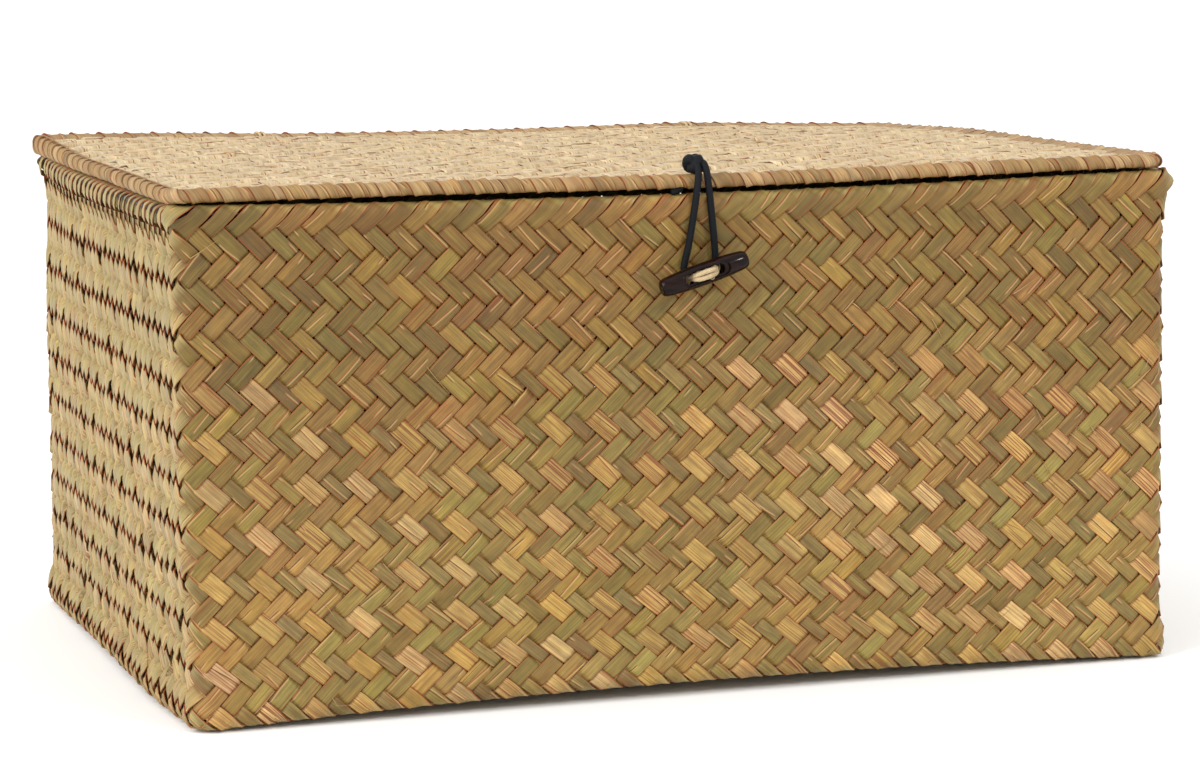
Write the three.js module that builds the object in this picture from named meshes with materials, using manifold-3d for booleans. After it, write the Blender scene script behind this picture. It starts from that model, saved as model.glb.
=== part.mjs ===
// A lidded storage basket plaited from flat rush strands on a wire frame, closed by an elastic loop
// over a toggle. Millimetres, +Z up. +X runs along the front, which faces -Y. The origin is the
// centre of the underside.

import * as THREE from 'three';
import { mergeVertices } from 'three/addons/utils/BufferGeometryUtils.js';
import Module from 'manifold-3d';

const wasm = await Module();
wasm.setup();

// ---- Driving dimensions -------------------------------------------------------------------------

const GAP = 0.3;                 // clearance between pieces that touch
const CORNER_STEPS = 6;          // segments in each rounded corner of a plan outline
const TIGHTEST_BEND = 0.8;       // smallest corner radius of an outline drawn far in

// Plaited body, measured across the rim roll
const BODY_WIDTH = 385;
const BODY_DEPTH = 281;
const BODY_HEIGHT = 187;
const BODY_CORNER = 6;
const WAIST = 2.5;               // how far the walls sit inside the rim roll and the foot
const WALL = 2.4;                // two crossing strands
const FLOOR = 2.7;
const FOOT_HEIGHT = 4.5;         // height of the widest line of the foot
const BLEND = 14;                // height over which rim and foot run into the wall
const ROLL_WIDTH = 8.4;          // rim roll, where the strands fold over the rim wire
const ROLL_HEIGHT = 6.8;
const FLAP = 1.4;                // strand ends tucked down inside the wall
const FLAP_END = 20;             // depth of the flap's end below the rim

// Wire frame
const WIRE = 1.3;                // radius of the body's wires
const LID_WIRE = 1.0;
const WIRE_SIDES = 8;

// Lid
const LID_INSET = 0.9;           // the lid's edge, inside the rim roll's outer line
const LID_GAP = 0.5;             // between the rim and the closed lid
const LID_CORNER = 8;
const LID_EDGE = 5.6;            // height of the rolled edge
const LID_EDGE_RUN = 3;          // width over which the edge runs into the panel and the flap
const LID_PANEL_TOP = 5.1;       // the panel's faces, above the lid's lowest line
const LID_PANEL_BOTTOM = 2.5;
const LID_FLAP_TOP = 2.2;
const LID_FLAP_BOTTOM = 1.0;
const LID_FLAP_WIDTH = 16;

// Hinge ties at the rear rim
const TIE_X = 95;
const TIE_THREAD = 1.1;          // radius of the twine
const TIE_DROP = 10;             // how far under the rim the tie goes through the wall
const TIE_CORNER = 3;
const TIE_PLAY = 0.2;            // extra room behind the rim roll

// Toggle and its lashing
const TOGGLE_X = 1.0;
const TOGGLE_Z = 156.4;
const TOGGLE_STAND_OFF = 9.6;    // from the wall's face to the toggle's axis
const TOGGLE_TILT = THREE.MathUtils.degToRad(16.7);
const TOGGLE_LENGTH = 34;
const TOGGLE_RADIUS = 4.1;
const TOGGLE_END_RADIUS = 2.9;
const TOGGLE_CHAMFER = 0.5;
const GROOVE_LENGTH = 18;
const GROOVE_WIDTH = 4.2;
const GROOVE_DEPTH = 2.6;
const HOLE_SPACING = 12.4;
const HOLE_RADIUS = 1.4;
const TWINE = 0.9;               // radius of the lashing's strands
const SHANK = 1.6;               // radius of the twisted twine between wall and toggle
const INNER_KNOT = 2.6;

// Elastic closure
const CORD = 1.25;               // radius of the elastic
const CORD_SIDES = 8;
const CORD_STEPS = 44;
const LOOP_X = 2.2;              // middle of the bend behind the toggle
const LOOP_Z = 158.9;
const LOOP_RADIUS = 6;
const LOOP_STAND_OFF = 0.45;     // between the bend and the wall
const KNOT_X = 1.6;
const KNOT_Y = -136;
const KNOT_SINK = 0.6;           // how far the knot sits into the lid's edge
const KNOT_RADII = [4.0, 3.8, 2.9];
const TAIL_RADIUS = 1.5;
const TAIL_X = -6.8;
const TAIL_DROP = 0.3;           // below the lid's lowest line

// ---- Derived places -----------------------------------------------------------------------------

const bodyPlan = { halfX: BODY_WIDTH / 2, halfY: BODY_DEPTH / 2, corner: BODY_CORNER };
const lidPlan = {
  halfX: BODY_WIDTH / 2 - LID_INSET,
  halfY: BODY_DEPTH / 2 - LID_INSET,
  corner: LID_CORNER,
};
const wallInner = WAIST + WALL;
const wallFrontY = -(BODY_DEPTH / 2 - WAIST);
const rollZ = BODY_HEIGHT - ROLL_HEIGHT / 2;
const rimWireInset = ROLL_HEIGHT / 2;
const lidZ = BODY_HEIGHT + LID_GAP;
const lidEdgeRadius = LID_EDGE / 2;
const lidWireZ = lidZ + lidEdgeRadius;

// ---- Helpers ------------------------------------------------------------------------------------

function bendRadius(plan, inset) {
  return Math.max(plan.corner - inset, TIGHTEST_BEND);
}

// Points of a rounded rectangle, counterclockwise from above, drawn in by inset and raised to z.
function planRing(plan, inset, z) {
  const radius = bendRadius(plan, inset);
  const ring = [];
  for (let quarter = 0; quarter < 4; quarter += 1) {
    const signX = quarter === 0 || quarter === 3 ? 1 : -1;
    const signY = quarter < 2 ? 1 : -1;
    for (let step = 0; step <= CORNER_STEPS; step += 1) {
      const angle = (quarter + step / CORNER_STEPS) * (Math.PI / 2);
      ring.push(
        signX * (plan.halfX - inset - radius) + radius * Math.cos(angle),
        signY * (plan.halfY - inset - radius) + radius * Math.sin(angle),
        z,
      );
    }
  }
  return ring;
}

// A solid swept round a plan outline. The profile is a list of [inset, z] with the material on its
// left as it goes outwards and up. An open profile is capped flat at both ends; a closed one is a
// hoop.
function sweepRound(plan, profile, closed) {
  const positions = profile.flatMap(([inset, z]) => planRing(plan, inset, z));
  const count = 4 * (CORNER_STEPS + 1);
  const index = [];
  const lastRing = profile.length - 1;
  for (let row = 0; row < (closed ? profile.length : lastRing); row += 1) {
    const here = row * count;
    const next = ((row + 1) % profile.length) * count;
    for (let k = 0; k < count; k += 1) {
      const k2 = (k + 1) % count;
      index.push(here + k, here + k2, next + k2, here + k, next + k2, next + k);
    }
  }
  if (!closed) {
    const first = positions.length / 3;
    positions.push(0, 0, profile[0][1], 0, 0, profile[lastRing][1]);
    for (let k = 0; k < count; k += 1) {
      const k2 = (k + 1) % count;
      index.push(first, k2, k);
      index.push(first + 1, lastRing * count + k, lastRing * count + k2);
    }
  }
  const geometry = new THREE.BufferGeometry();
  geometry.setAttribute('position', new THREE.Float32BufferAttribute(positions, 3));
  geometry.setIndex(index);
  return geometry;
}

// Points [inset, z] of an elliptical arc; 0 degrees is the inner side and 180 the outer side.
function arc(inset, z, radiusIn, radiusZ, fromDeg, toDeg, steps) {
  const points = [];
  for (let step = 0; step <= steps; step += 1) {
    const angle = THREE.MathUtils.degToRad(fromDeg + ((toDeg - fromDeg) * step) / steps);
    points.push([inset + radiusIn * Math.cos(angle), z + radiusZ * Math.sin(angle)]);
  }
  return points;
}

// Points [inset, z] of a smooth step between two insets.
function ease(fromInset, fromZ, toInset, toZ, steps) {
  const points = [];
  for (let step = 1; step < steps; step += 1) {
    const t = step / steps;
    const s = t * t * (3 - 2 * t);
    points.push([fromInset + (toInset - fromInset) * s, fromZ + (toZ - fromZ) * t]);
  }
  return points;
}

// A wire hoop that follows a plan outline.
function hoop(plan, inset, z, radius) {
  const section = arc(inset, z, radius, radius, 180, -180, WIRE_SIDES).slice(0, WIRE_SIDES);
  return sweepRound(plan, section, true);
}

function toSolid(geometry) {
  const bare = new THREE.BufferGeometry();
  bare.setAttribute('position', geometry.attributes.position.clone());
  if (geometry.index) bare.setIndex(geometry.index.clone());
  const merged = mergeVertices(bare, 1e-4);
  const mesh = new wasm.Mesh({
    numProp: 3,
    vertProperties: new Float32Array(merged.attributes.position.array),
    triVerts: new Uint32Array(merged.index.array),
  });
  return new wasm.Manifold(mesh);
}

function toGeometry(solid) {
  const mesh = solid.getMesh();
  const geometry = new THREE.BufferGeometry();
  geometry.setAttribute('position', new THREE.BufferAttribute(mesh.vertProperties, 3));
  geometry.setIndex(new THREE.BufferAttribute(mesh.triVerts, 1));
  return geometry;
}

function cutAway(geometry, tools) {
  return toGeometry(tools.reduce((solid, tool) => solid.subtract(toSolid(tool)), toSolid(geometry)));
}

function joined(parts) {
  return toGeometry(parts.map(toSolid).reduce((sum, part) => sum.add(part)));
}

// A round bar between two points.
function bar(from, to, radius, sides) {
  const start = new THREE.Vector3(...from);
  const end = new THREE.Vector3(...to);
  const direction = end.clone().sub(start);
  const geometry = new THREE.CylinderGeometry(radius, radius, direction.length(), sides);
  const turn = new THREE.Quaternion();
  turn.setFromUnitVectors(new THREE.Vector3(0, 1, 0), direction.clone().normalize());
  geometry.applyQuaternion(turn);
  geometry.translate(...start.add(end).multiplyScalar(0.5).toArray());
  return geometry;
}

function ellipsoid(centre, radii, columns, rows) {
  const geometry = new THREE.SphereGeometry(1, columns, rows);
  geometry.scale(...radii);
  geometry.translate(...centre);
  return geometry;
}

// A cord of round section along a curve.
function cordAlong(curve, radius, sides, steps) {
  const section = new THREE.Shape();
  for (let side = 0; side < sides; side += 1) {
    const angle = (side / sides) * 2 * Math.PI;
    const method = side === 0 ? 'moveTo' : 'lineTo';
    section[method](radius * Math.cos(angle), radius * Math.sin(angle));
  }
  section.closePath();
  return new THREE.ExtrudeGeometry(section, { steps, extrudePath: curve, curveSegments: 1 });
}

const looks = {
  rush: { color: 0xb49a5c, roughness: 0.72, metalness: 0.0 },
  steel: { color: 0x4a4a4c, roughness: 0.45, metalness: 0.9 },
  elastic: { color: 0x1c1f24, roughness: 0.85, metalness: 0.0 },
  toggle: { color: 0x24140f, roughness: 0.28, metalness: 0.0 },
  twine: { color: 0xcbb68d, roughness: 0.9, metalness: 0.0 },
};

function piece(name, geometry, look) {
  const mesh = new THREE.Mesh(geometry, new THREE.MeshStandardMaterial(looks[look]));
  mesh.name = name;
  return mesh;
}

// ---- Body ---------------------------------------------------------------------------------------

// Inset from the side and z of each corner post's centreline, on the diagonal of the corner.
const postInset = wallInner + GAP + WIRE;
const baseWireZ = FLOOR + GAP + WIRE;
const postBottom = baseWireZ + WIRE + GAP;
const postTop = rollZ;

function cornerPoint(signX, signY, inset) {
  const indent = inset + bendRadius(bodyPlan, inset) * (1 - Math.SQRT1_2);
  return [signX * (bodyPlan.halfX - indent), signY * (bodyPlan.halfY - indent)];
}

function postBar(signX, signY, radius, from, to) {
  const [x, y] = cornerPoint(signX, signY, postInset);
  return bar([x, y, from], [x, y, to], radius, WIRE_SIDES);
}

// The toggle swivels about this axis, which runs straight into the front wall.
const toggleY = wallFrontY - TOGGLE_STAND_OFF;
const wallInsideY = wallFrontY + WALL;

function wovenBody() {
  const flapOuter = wallInner + GAP;
  const flapInner = flapOuter + FLAP;
  const channel = WIRE + GAP;
  const flapZ = BODY_HEIGHT - FLAP_END;
  const profile = [
    [FOOT_HEIGHT, 0],
    ...arc(FOOT_HEIGHT, FOOT_HEIGHT, FOOT_HEIGHT, FOOT_HEIGHT, 270, 180, 4).slice(1),
    ...ease(0, FOOT_HEIGHT, WAIST, FOOT_HEIGHT + BLEND, 4),
    [WAIST, FOOT_HEIGHT + BLEND],
    [WAIST, rollZ - BLEND],
    ...ease(WAIST, rollZ - BLEND, 0, rollZ, 4),
    ...arc(ROLL_WIDTH / 2, rollZ, ROLL_WIDTH / 2, ROLL_HEIGHT / 2, 180, 0, 8),
    [flapInner, rollZ - ROLL_HEIGHT],
    [flapInner, flapZ],
    [flapOuter, flapZ],
    [flapOuter, rollZ],
    ...arc(rimWireInset, rollZ, channel, channel, 15, 315, 8),
    [wallInner, rollZ - channel],
    [wallInner, FLOOR],
  ];
  const tools = [];
  for (const signX of [-1, 1]) {
    for (const signY of [-1, 1]) {
      tools.push(postBar(signX, signY, WIRE + GAP, flapZ - 2, postTop + GAP));
    }
    tools.push(tieHole(signX));
  }
  tools.push(shankBar(SHANK + GAP, wallFrontY - 2, wallInsideY + 2));
  return cutAway(sweepRound(bodyPlan, profile, false), tools);
}

// ---- Hinge ties ---------------------------------------------------------------------------------

const tieOuterY = bodyPlan.halfY + TIE_THREAD + GAP + TIE_PLAY;
const tieInnerY = bodyPlan.halfY - ROLL_WIDTH - TIE_THREAD - GAP;
const tieBottomZ = BODY_HEIGHT - TIE_DROP;
const tieTopZ = lidZ + LID_EDGE + TIE_THREAD + GAP;

function tieHole(sign) {
  const radius = TIE_THREAD + 2 * GAP;
  const x = sign * TIE_X;
  const from = bodyPlan.halfY - ROLL_WIDTH + GAP;
  return bar([x, from, tieBottomZ], [x, tieOuterY, tieBottomZ], radius, WIRE_SIDES);
}

function tieHoleInLid(sign) {
  const radius = TIE_THREAD + 2 * GAP;
  const x = sign * TIE_X;
  return bar([x, tieInnerY, lidZ - 2], [x, tieInnerY, lidZ + LID_EDGE + 2], radius, WIRE_SIDES);
}

// A closed loop of twine round the rim roll and the lid's edge.
function hingeTie(sign) {
  const plan = {
    halfX: (tieOuterY - tieInnerY) / 2,
    halfY: (tieTopZ - tieBottomZ) / 2,
    corner: TIE_CORNER,
  };
  const geometry = hoop(plan, 0, 0, TIE_THREAD);
  geometry.rotateX(Math.PI / 2);
  geometry.rotateZ(Math.PI / 2);
  geometry.translate(sign * TIE_X, (tieOuterY + tieInnerY) / 2, (tieTopZ + tieBottomZ) / 2);
  return geometry;
}

// ---- Lid ----------------------------------------------------------------------------------------

const knotCentre = [KNOT_X, KNOT_Y, lidZ + LID_EDGE + KNOT_RADII[2] - KNOT_SINK];

function lidPanel() {
  const channel = LID_WIRE + GAP;
  const edgeInner = lidEdgeRadius + LID_EDGE_RUN;
  const profile = [
    [lidEdgeRadius + channel + 0.2, lidZ + LID_PANEL_BOTTOM],
    ...arc(lidEdgeRadius, lidWireZ, channel, channel, 0, 315, 8),
    [lidEdgeRadius + channel + 0.4, lidZ + LID_FLAP_TOP],
    [LID_FLAP_WIDTH, lidZ + LID_FLAP_TOP],
    [LID_FLAP_WIDTH, lidZ + LID_FLAP_BOTTOM],
    [edgeInner, lidZ + LID_FLAP_BOTTOM],
    ...arc(lidEdgeRadius, lidWireZ, lidEdgeRadius, lidEdgeRadius, 290, 70, 10),
    [edgeInner, lidZ + LID_PANEL_TOP],
  ];
  const dimple = KNOT_RADII.map((radius) => radius + GAP);
  return cutAway(sweepRound(lidPlan, profile, false), [
    ellipsoid(knotCentre, dimple, 16, 10),
    tieHoleInLid(-1),
    tieHoleInLid(1),
  ]);
}

// ---- Toggle and lashing -------------------------------------------------------------------------

// A bar along the swivel axis, from one depth to another.
function shankBar(radius, fromY, toY) {
  return bar([TOGGLE_X, fromY, TOGGLE_Z], [TOGGLE_X, toY, TOGGLE_Z], radius, 12);
}

// Turns a piece made along X at the origin to the toggle's tilt, and sets it on the swivel axis.
function placeOnToggle(geometry) {
  geometry.rotateY(-TOGGLE_TILT);
  geometry.translate(TOGGLE_X, toggleY, TOGGLE_Z);
  return geometry;
}

function toggleBarrel() {
  const profile = [new THREE.Vector2(0, -TOGGLE_LENGTH / 2)];
  const steps = 10;
  profile.push(new THREE.Vector2(TOGGLE_END_RADIUS - TOGGLE_CHAMFER, -TOGGLE_LENGTH / 2));
  for (let step = 0; step <= steps; step += 1) {
    const t = (2 * step) / steps - 1;
    const bulge = 1 - t * t;
    const radius = TOGGLE_END_RADIUS + (TOGGLE_RADIUS - TOGGLE_END_RADIUS) * Math.sqrt(bulge);
    profile.push(new THREE.Vector2(radius, t * (TOGGLE_LENGTH / 2 - TOGGLE_CHAMFER)));
  }
  profile.push(new THREE.Vector2(TOGGLE_END_RADIUS - TOGGLE_CHAMFER, TOGGLE_LENGTH / 2));
  profile.push(new THREE.Vector2(0, TOGGLE_LENGTH / 2));
  const barrel = new THREE.LatheGeometry(profile, 20);
  barrel.rotateZ(-Math.PI / 2);

  const groove = new THREE.Shape();
  const straight = (GROOVE_LENGTH - GROOVE_WIDTH) / 2;
  groove.absarc(straight, 0, GROOVE_WIDTH / 2, -Math.PI / 2, Math.PI / 2, false);
  groove.absarc(-straight, 0, GROOVE_WIDTH / 2, Math.PI / 2, (3 * Math.PI) / 2, false);
  groove.closePath();
  const cutter = new THREE.ExtrudeGeometry(groove, {
    depth: GROOVE_DEPTH + 1,
    bevelEnabled: false,
    curveSegments: 8,
  });
  cutter.rotateX(Math.PI / 2);
  cutter.translate(0, -TOGGLE_RADIUS + GROOVE_DEPTH, 0);

  const tools = [cutter];
  for (const sign of [-1, 1]) {
    const x = (sign * HOLE_SPACING) / 2;
    tools.push(bar([x, -TOGGLE_RADIUS - 1, 0], [x, TOGGLE_RADIUS + 1, 0], HOLE_RADIUS, 12));
  }
  return placeOnToggle(cutAway(barrel, tools));
}

// Twine up through the wall as one twisted shank, along the toggle's back, through both holes and
// over the floor of the groove.
function toggleLashing() {
  const half = HOLE_SPACING / 2;
  const backY = TOGGLE_RADIUS + TWINE + GAP / 2;
  const frontY = -TOGGLE_RADIUS + GROOVE_DEPTH - GAP - TWINE;
  const wallY = wallInsideY - toggleY;
  const parts = [
    bar([0, backY, 0], [0, wallY, 0], SHANK, 12),
    bar([-half - TWINE, backY, 0], [half + TWINE, backY, 0], TWINE, 8),
    bar([-half - TWINE, frontY, 0], [half + TWINE, frontY, 0], TWINE, 8),
  ];
  for (const sign of [-1, 1]) {
    parts.push(bar([sign * half, frontY, 0], [sign * half, backY, 0], TWINE, 8));
  }
  return placeOnToggle(joined(parts));
}

// ---- Elastic ------------------------------------------------------------------------------------

// From the knot over the lid's front edge and the rim roll, down the wall, round the lashing behind
// the toggle and back up.
function elasticLoop() {
  // Height, y, half the spread of the two legs, and the x midway between them.
  const legs = [
    [194.0, -140.2, 1.4, 2.8],
    [190.6, -141.5, 1.65, 2.95],
    [184.6, -142.2, 2.5, 2.8],
    [175.0, -141.2, 3.75, 2.85],
    [166.0, -140.1, 5.0, 2.8],
  ];
  const points = legs.map(([z, y, spread, middle]) => [middle - spread, y, z]);
  const bendY = wallFrontY - CORD - LOOP_STAND_OFF;
  const turns = 8;
  for (let step = 0; step <= turns; step += 1) {
    const angle = Math.PI * (1 + step / turns);
    points.push([
      LOOP_X + LOOP_RADIUS * Math.cos(angle),
      bendY,
      LOOP_Z + LOOP_RADIUS * Math.sin(angle),
    ]);
  }
  points.push(...legs.map(([z, y, spread, middle]) => [middle + spread, y, z]).reverse());
  const curve = new THREE.CatmullRomCurve3(points.map((point) => new THREE.Vector3(...point)));
  return cordAlong(curve, CORD, CORD_SIDES, CORD_STEPS);
}

// ---- Assembly -----------------------------------------------------------------------------------

const group = new THREE.Group();

group.add(piece('woven_body', wovenBody(), 'rush'));
group.add(piece('rim_wire', hoop(bodyPlan, rimWireInset, rollZ, WIRE), 'steel'));
group.add(piece('base_wire', hoop(bodyPlan, postInset, baseWireZ, WIRE), 'steel'));
for (const [side, signX] of [['left', -1], ['right', 1]]) {
  for (const [end, signY] of [['front', -1], ['rear', 1]]) {
    const post = postBar(signX, signY, WIRE, postBottom, postTop);
    group.add(piece(`corner_post_${end}_${side}`, post, 'steel'));
  }
  group.add(piece(`hinge_tie_${side}`, hingeTie(signX), 'twine'));
}

group.add(piece('lid_panel', lidPanel(), 'rush'));
group.add(piece('lid_wire', hoop(lidPlan, lidEdgeRadius, lidWireZ, LID_WIRE), 'steel'));

group.add(piece('toggle', toggleBarrel(), 'toggle'));
group.add(piece('toggle_lashing', toggleLashing(), 'twine'));
const innerKnotY = wallInsideY + GAP + INNER_KNOT;
const innerKnot = ellipsoid(
  [TOGGLE_X, innerKnotY, TOGGLE_Z],
  [INNER_KNOT * 1.3, INNER_KNOT, INNER_KNOT * 1.1],
  12,
  8,
);
group.add(piece('lashing_knot', innerKnot, 'twine'));

group.add(piece('elastic_loop', elasticLoop(), 'elastic'));
group.add(piece('elastic_knot', ellipsoid(knotCentre, KNOT_RADII, 16, 10), 'elastic'));
const tailY = -(lidPlan.halfY + GAP + TAIL_RADIUS / 2);
const tailCentre = [TAIL_X, tailY, lidZ - TAIL_DROP];
const tailRadii = [TAIL_RADIUS, TAIL_RADIUS, TAIL_RADIUS];
group.add(piece('elastic_tail', ellipsoid(tailCentre, tailRadii, 10, 8), 'elastic'));

export default group;
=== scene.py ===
import math

import bmesh
import bpy
import numpy as np
from mathutils import Matrix, Vector
from numpy.random import default_rng


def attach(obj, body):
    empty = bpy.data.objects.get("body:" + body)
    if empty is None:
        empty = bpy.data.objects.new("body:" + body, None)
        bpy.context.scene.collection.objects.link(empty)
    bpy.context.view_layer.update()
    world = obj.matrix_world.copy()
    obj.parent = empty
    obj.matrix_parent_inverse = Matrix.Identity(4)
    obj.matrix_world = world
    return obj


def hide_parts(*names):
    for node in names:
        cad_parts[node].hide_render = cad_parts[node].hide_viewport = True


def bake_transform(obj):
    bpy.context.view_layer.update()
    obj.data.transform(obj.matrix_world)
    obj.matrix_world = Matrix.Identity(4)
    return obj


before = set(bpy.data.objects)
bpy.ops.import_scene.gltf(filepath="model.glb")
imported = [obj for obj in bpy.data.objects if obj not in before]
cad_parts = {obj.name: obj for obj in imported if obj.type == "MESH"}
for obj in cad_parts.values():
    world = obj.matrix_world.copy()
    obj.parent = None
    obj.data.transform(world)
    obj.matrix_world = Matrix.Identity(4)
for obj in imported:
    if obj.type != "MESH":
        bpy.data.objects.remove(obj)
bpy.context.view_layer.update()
MM = 0.001

# A rectangular rush basket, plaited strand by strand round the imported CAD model. Everything below is in
# millimetres in the row frame, and is scaled to metres as a mesh is made.

# ---- Camera ----

CAMERA_AT = (-449.98, -1419.44, 292.79)
CAMERA_YAW = math.radians(17.914)
CAMERA_PITCH = math.radians(-7.435)
CAMERA_ROLL = -0.0115  # radians
CAMERA_LENS = 112.92  # millimetres, on a sensor 36 mm wide


def add_object(name, data):
    made = bpy.data.objects.new(name, data)
    bpy.context.scene.collection.objects.link(made)
    return made


def make_camera():
    """Looks along yaw and pitch, rolled a little."""
    yaw, pitch = CAMERA_YAW, CAMERA_PITCH
    forward = Vector(
        (math.sin(yaw) * math.cos(pitch), math.cos(yaw) * math.cos(pitch), math.sin(pitch))
    )
    level = Vector((math.cos(yaw), -math.sin(yaw), 0))
    above = level.cross(forward)
    cos, sin = math.cos(CAMERA_ROLL), math.sin(CAMERA_ROLL)
    right = cos * level + sin * above
    up = cos * above - sin * level
    data = bpy.data.cameras.new("camera")
    data.lens = CAMERA_LENS
    data.sensor_width = 36
    data.clip_start, data.clip_end = 0.05, 50
    camera = add_object("camera", data)
    turn = Matrix((right, up, -forward)).transposed().to_4x4()
    camera.matrix_world = Matrix.Translation(Vector(CAMERA_AT) * MM) @ turn
    bpy.context.scene.camera = camera


make_camera()

# ---- Sizes, as in the CAD model ----

HALF_X, HALF_Y, HEIGHT = 193.1, 140.7, 187.0
CORNER = 9.0
TIGHTEST = 0.8  # smallest corner radius of an outline drawn far in
WAIST = 2.5  # inset of the outline that the strands are counted round
WALL_MID = 3.7  # inset of the middle of the wall's two layers
FOOT = 4.5  # centre of the foot's bend, inwards and upwards
UNDER = 1.52  # height of the strands' middle under the foot
ROLL_HALF = 4.2  # half the thickness of the roll at the rim
ROLL_Z = 183.6
LID_HALF_X, LID_HALF_Y, LID_CORNER = 191.6, 139.6, 8.0
LID_LOW = 187.5
LID_EDGE = 2.8  # radius of the lid's rolled edge
WIRE = 1.3  # radii of the wires
LID_WIRE = 1.0
POST_INSET = 7.2

# Weave of the walls: strands of two families cross at whole numbers k, counted up the wall.
STRANDS = 144
PHASE = 5.28
FLOATS = 18  # more than the floats of any wall strand
RISING, FALLING = 0.5, 2.5  # k in the middle of a float
K_BOTTOM = -1.2
K_FOLD = 44.0  # above this the rising strands fold over the rim
K_FOLDED = 44.5  # above this they don't interlace
K_HIDDEN = 44.3  # where the falling strands end, under the roll
K_OPEN = 42.7  # where they end on the left, whose rim is open
K_END = 50.7
TURN = (44.2, 45.6)  # where a rising strand turns over the rim
OPEN_NECK, OPEN_END = (41.6, 42.9), (46.0, 48.0)  # where it narrows and widens on the open rim
SHUT_NECK, SHUT_END = (43.9, 45.2), (45.2, 46.6)  # and elsewhere
STRAW_TOP = 32.5  # the straw-coloured strands show below this

# ---- Meshes ----


def smooth_step(x, low, high):
    t = np.clip((np.asarray(x, float) - low) / (high - low), 0, 1)
    return t * t * (3 - 2 * t)


def srgb(r, g, b):
    c = np.array([r, g, b], float) / 255
    return np.where(c <= 0.04045, c / 12.92, ((c + 0.055) / 1.055) ** 2.4)


def unit(v):
    return v / np.maximum(np.linalg.norm(v, axis=-1, keepdims=True), 1e-9)


def running_length(points):
    """Length along a line of points, from 0 at the first."""
    return np.concatenate([[0], np.cumsum(np.linalg.norm(np.diff(points, axis=0), axis=1))])


def look_up(places, length, table):
    """Rows of a table at places along it."""
    return np.stack([np.interp(places, length, table[:, c]) for c in range(table.shape[1])], -1)


def subdivided(path, least, spacing):
    """A path with each stretch cut into at least so many steps of about the spacing."""
    path = np.array(path)
    fine = []
    for a, b in zip(path[:-1], path[1:]):
        steps = max(least, int(np.linalg.norm(b - a) / spacing))
        fine.append(a + (b - a) * (np.arange(steps) / steps)[:, None])
    return np.concatenate(fine + [path[-1:]])


def arc(centre, across, up, degrees):
    """Points of an ellipse at angles in degrees."""
    turns = [math.radians(a) for a in degrees]
    return [(centre[0] + across * math.cos(t), centre[1] + up * math.sin(t)) for t in turns]


def make_mesh(name, verts, faces, attributes, material, smooth=True):
    """A mesh object from arrays: faces all have the same number of corners."""
    mesh = bpy.data.meshes.new(name)
    faces = np.asarray(faces, np.int32)
    corners = faces.shape[1]
    mesh.vertices.add(len(verts))
    mesh.vertices.foreach_set("co", (np.asarray(verts, np.float32) * MM).ravel())
    mesh.loops.add(faces.size)
    mesh.loops.foreach_set("vertex_index", faces.ravel())
    mesh.polygons.add(len(faces))
    mesh.polygons.foreach_set("loop_start", np.arange(len(faces), dtype=np.int32) * corners)
    mesh.polygons.foreach_set("use_smooth", np.full(len(faces), smooth))
    for key, values in attributes.items():
        kind = "FLOAT_COLOR" if values.shape[1] == 4 else "FLOAT_VECTOR"
        layer = mesh.attributes.new(key, kind, "POINT")
        field = "color" if kind == "FLOAT_COLOR" else "vector"
        layer.data.foreach_set(field, values.astype(np.float32).ravel())
    mesh.update(calc_edges=True)
    mesh.validate()
    mesh.materials.append(material)
    return add_object(name, mesh)


# Half cross-section widths and heights of a flat strand, the upper face first.
SECTION = np.array(
    [(-1.0, -0.6), (-0.99, 0.72), (-0.95, 0.9), (-0.6, 1.0), (0.6, 1.0)]
    + [(0.95, 0.9), (0.99, 0.72), (1.0, -0.6), (0.7, -1.0), (-0.7, -1.0)]
)
SIDES = len(SECTION)
LEVEL = np.array([0.0, 0.0, 1.0])  # normal of the strands of the floor and the lid
SECTION_QUADS = np.array([(0, 1, 2, 9), (2, 3, 8, 9), (3, 4, 7, 8), (4, 5, 6, 7)])


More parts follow.
